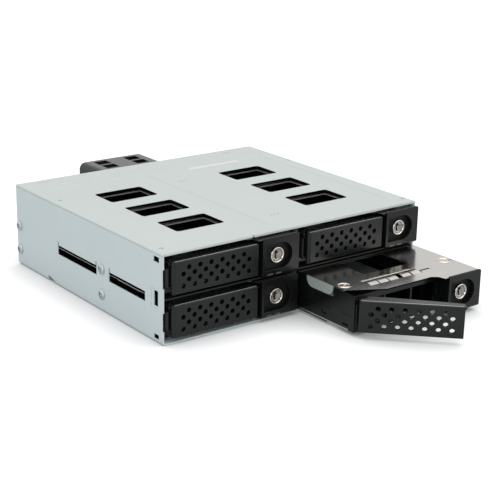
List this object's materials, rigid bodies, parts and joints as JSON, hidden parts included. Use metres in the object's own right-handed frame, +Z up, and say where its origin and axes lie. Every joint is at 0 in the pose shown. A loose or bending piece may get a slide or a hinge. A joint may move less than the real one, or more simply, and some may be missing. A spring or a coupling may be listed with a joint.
{
  "type": "hot swap drive cage",
  "caption": "Flat steel drive cage with sliding trays stacked side by side, each with a perforated hinged handle and a key lock, and a fan at the rear.",
  "frame": {"origin": "centre of the four bottom screw holes, on the underside of the shell", "axes": "+X to the right seen from the front, +Y to the rear, +Z up"},
  "size_m": [0.1484, 0.2273, 0.0413],
  "materials": {
    "sheet_steel": "satin light grey",
    "plate_steel": "brushed",
    "black_plastic": "fine matt",
    "handle_black": "fine matt",
    "chrome": "polished",
    "zinc": "zinc plated",
    "spring_steel": "polished",
    "light_pipe": "clear",
    "dark_sheet": "black",
    "board_green": "solder mask",
    "connector_black": "moulded",
    "connector_white": "moulded",
    "fan_black": "moulded",
    "brass": "turned"
  },
  "bodies": {
    "cage": {"chassis_shell": "sheet_steel", "top_cover": "sheet_steel", "centre_divider": "dark_sheet", "shelf_left": "dark_sheet", "shelf_right": "dark_sheet", "rear_panel": "dark_sheet", "fan_shroud": "fan_black", "backplane_board": "board_green", "drive_connectors": "connector_black", "data_connectors": "connector_black", "power_connectors": "connector_white", "fan_header": "connector_white", "board_standoffs": "brass", "board_screws": "zinc", "rear_panel_screws": "zinc", "side_screws": "zinc", "fan_frame": "fan_black", "fan_screws": "zinc"},
    "fan": {"fan_rotor": "fan_black"},
    "tray_upper_left": {"tray_plate_upper_left": "plate_steel", "tray_frame_upper_left": "black_plastic", "spring_fingers_upper_left": "spring_steel", "plate_screws_upper_left": "zinc", "lock_housing_upper_left": "black_plastic", "lock_ring_upper_left": "chrome", "light_pipes_upper_left": "light_pipe", "hinge_pin_upper_left": "zinc"},
    "handle_upper_left": {"handle_upper_left": "handle_black"},
    "plug_upper_left": {"lock_plug_upper_left": "chrome"},
    "tray_lower_left": {"tray_plate_lower_left": "plate_steel", "tray_frame_lower_left": "black_plastic", "spring_fingers_lower_left": "spring_steel", "plate_screws_lower_left": "zinc", "lock_housing_lower_left": "black_plastic", "lock_ring_lower_left": "chrome", "light_pipes_lower_left": "light_pipe", "hinge_pin_lower_left": "zinc"},
    "handle_lower_left": {"handle_lower_left": "handle_black"},
    "plug_lower_left": {"lock_plug_lower_left": "chrome"},
    "tray_upper_right": {"tray_plate_upper_right": "plate_steel", "tray_frame_upper_right": "black_plastic", "spring_fingers_upper_right": "spring_steel", "plate_screws_upper_right": "zinc", "lock_housing_upper_right": "black_plastic", "lock_ring_upper_right": "chrome", "light_pipes_upper_right": "light_pipe", "hinge_pin_upper_right": "zinc"},
    "handle_upper_right": {"handle_upper_right": "handle_black"},
    "plug_upper_right": {"lock_plug_upper_right": "chrome"},
    "tray_lower_right": {"tray_plate_lower_right": "plate_steel", "tray_frame_lower_right": "black_plastic", "spring_fingers_lower_right": "spring_steel", "plate_screws_lower_right": "zinc", "lock_housing_lower_right": "black_plastic", "lock_ring_lower_right": "chrome", "light_pipes_lower_right": "light_pipe", "hinge_pin_lower_right": "zinc"},
    "handle_lower_right": {"handle_lower_right": "handle_black"},
    "plug_lower_right": {"lock_plug_lower_right": "chrome"}
  },
  "joints": [
    {"name": "fan_spin", "type": "hinge", "parent": "cage", "child": "fan", "pos_m": [-0.0044, 0.05398, 0.02065], "axis": [0, 1, 0], "continuous": true},
    {"name": "tray_slide_upper_left", "type": "slide", "parent": "cage", "child": "tray_upper_left", "axis": [0, -1, 0], "range_m": [0, 0.1]},
    {"name": "handle_hinge_upper_left", "type": "hinge", "parent": "tray_upper_left", "child": "handle_upper_left", "pos_m": [-0.06665, -0.08543, 0.03], "axis": [0, 0, -1], "range_deg": [0, 45]},
    {"name": "lock_turn_upper_left", "type": "hinge", "parent": "tray_upper_left", "child": "plug_upper_left", "pos_m": [-0.01305, -0.08943, 0.0306], "axis": [0, 1, 0], "range_deg": [0, 90]},
    {"name": "tray_slide_lower_left", "type": "slide", "parent": "cage", "child": "tray_lower_left", "axis": [0, -1, 0], "range_m": [0, 0.1]},
    {"name": "handle_hinge_lower_left", "type": "hinge", "parent": "tray_lower_left", "child": "handle_lower_left", "pos_m": [-0.06665, -0.08543, 0.0104], "axis": [0, 0, -1], "range_deg": [0, 45]},
    {"name": "lock_turn_lower_left", "type": "hinge", "parent": "tray_lower_left", "child": "plug_lower_left", "pos_m": [-0.01305, -0.08943, 0.011], "axis": [0, 1, 0], "range_deg": [0, 90]},
    {"name": "tray_slide_upper_right", "type": "slide", "parent": "cage", "child": "tray_upper_right", "axis": [0, -1, 0], "range_m": [0, 0.1]},
    {"name": "handle_hinge_upper_right", "type": "hinge", "parent": "tray_upper_right", "child": "handle_upper_right", "pos_m": [0.00705, -0.08543, 0.03], "axis": [0, 0, -1], "range_deg": [0, 45]},
    {"name": "lock_turn_upper_right", "type": "hinge", "parent": "tray_upper_right", "child": "plug_upper_right", "pos_m": [0.06065, -0.08943, 0.0306], "axis": [0, 1, 0], "range_deg": [0, 90]},
    {"name": "tray_slide_lower_right", "type": "slide", "parent": "cage", "child": "tray_lower_right", "axis": [0, -1, 0], "range_m": [-0.0425, 0.0575]},
    {"name": "handle_hinge_lower_right", "type": "hinge", "parent": "tray_lower_right", "child": "handle_lower_right", "pos_m": [0.00705, -0.12793, 0.0104], "axis": [0, 0, -1], "range_deg": [-44, 1]},
    {"name": "lock_turn_lower_right", "type": "hinge", "parent": "tray_lower_right", "child": "plug_lower_right", "pos_m": [0.06065, -0.13192, 0.011], "axis": [0, 1, 0], "range_deg": [0, 90]}
  ]
}
